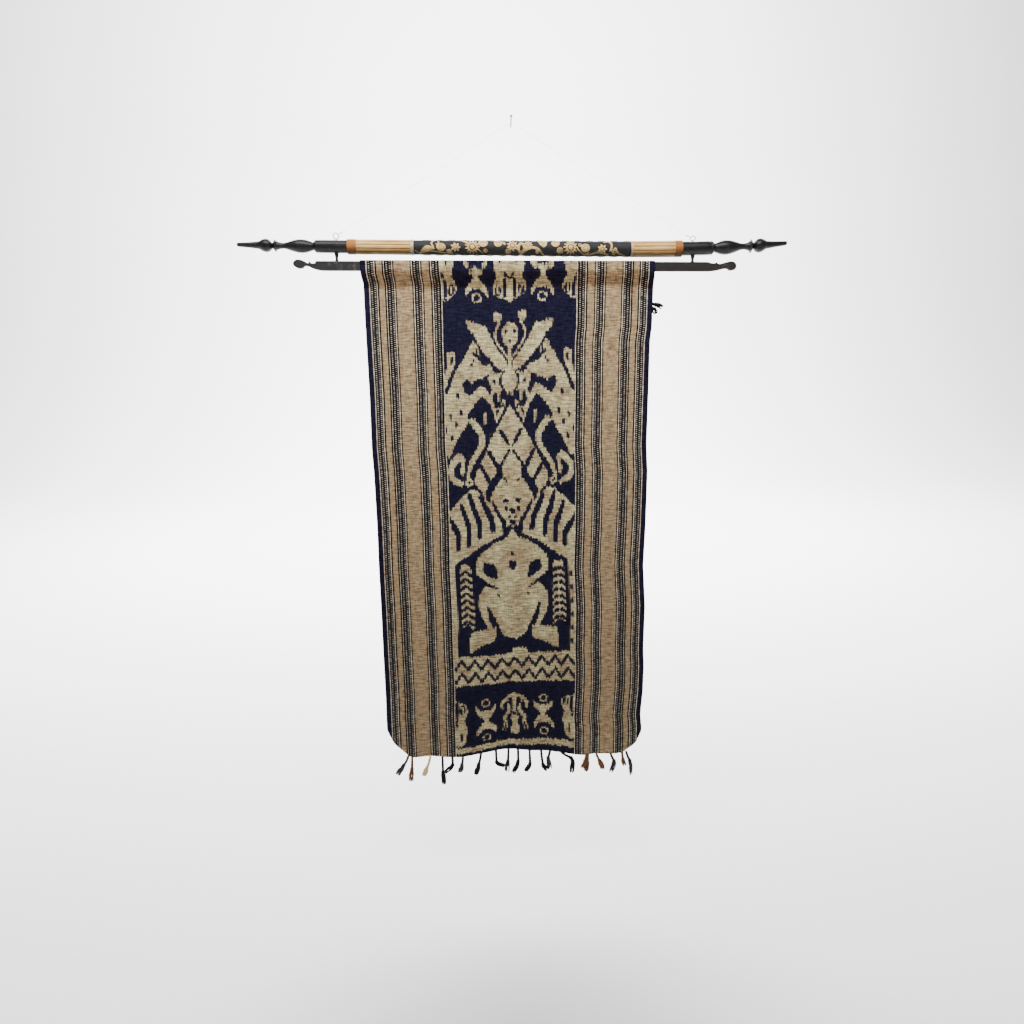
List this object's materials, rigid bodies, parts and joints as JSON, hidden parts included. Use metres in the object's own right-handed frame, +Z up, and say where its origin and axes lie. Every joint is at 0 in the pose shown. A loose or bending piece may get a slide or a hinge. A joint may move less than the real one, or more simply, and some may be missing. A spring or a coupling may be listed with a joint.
{
  "type": "ikat woven cloth on a carved hanging pole with a wall nail",
  "caption": "Long warp-ikat cloth with a knotted fringe, draped over the flat bar of a turned, carved hanging pole that hangs by a line from a wall nail.",
  "frame": {"origin": "where the nail enters the wall, at the centre of its flat rear end", "axes": "+Z up along the hang of the cloth, +X to the right along the pole, +Y into the wall; the front of the cloth faces -Y"},
  "size_m": [1.1921, 0.0356, 1.5521],
  "materials": {
    "ikat_cotton": "hand-woven cotton, dull",
    "fringe_yarn": "twisted cotton yarn",
    "black_wood": "black lacquer, satin",
    "grey_bar_wood": "dark stained, worn satin",
    "orange_wood": "stained, satin",
    "natural_wood": "natural, satin",
    "cream_bone": "bone, smooth",
    "carved_wood": "carved, dark ground with pale relief",
    "steel": "plated wire",
    "iron": "dark wire nail",
    "clear_nylon": "clear monofilament"
  },
  "bodies": {
    "root": {"cloth": "ikat_cotton", "fringe_front": "fringe_yarn", "fringe_back": "fringe_yarn", "turned_end_left": "black_wood", "turned_end_right": "black_wood", "orange_band_left": "orange_wood", "orange_band_right": "orange_wood", "reeded_left": "natural_wood", "reeded_right": "natural_wood", "cream_ring_left": "cream_bone", "cream_ring_right": "cream_bone", "carved_centre": "carved_wood", "flat_bar": "grey_bar_wood", "peg_left": "black_wood", "peg_right": "black_wood", "screw_eye_left": "steel", "screw_eye_right": "steel", "hanging_line": "clear_nylon", "wall_nail": "iron"}
  },
  "joints": []
}
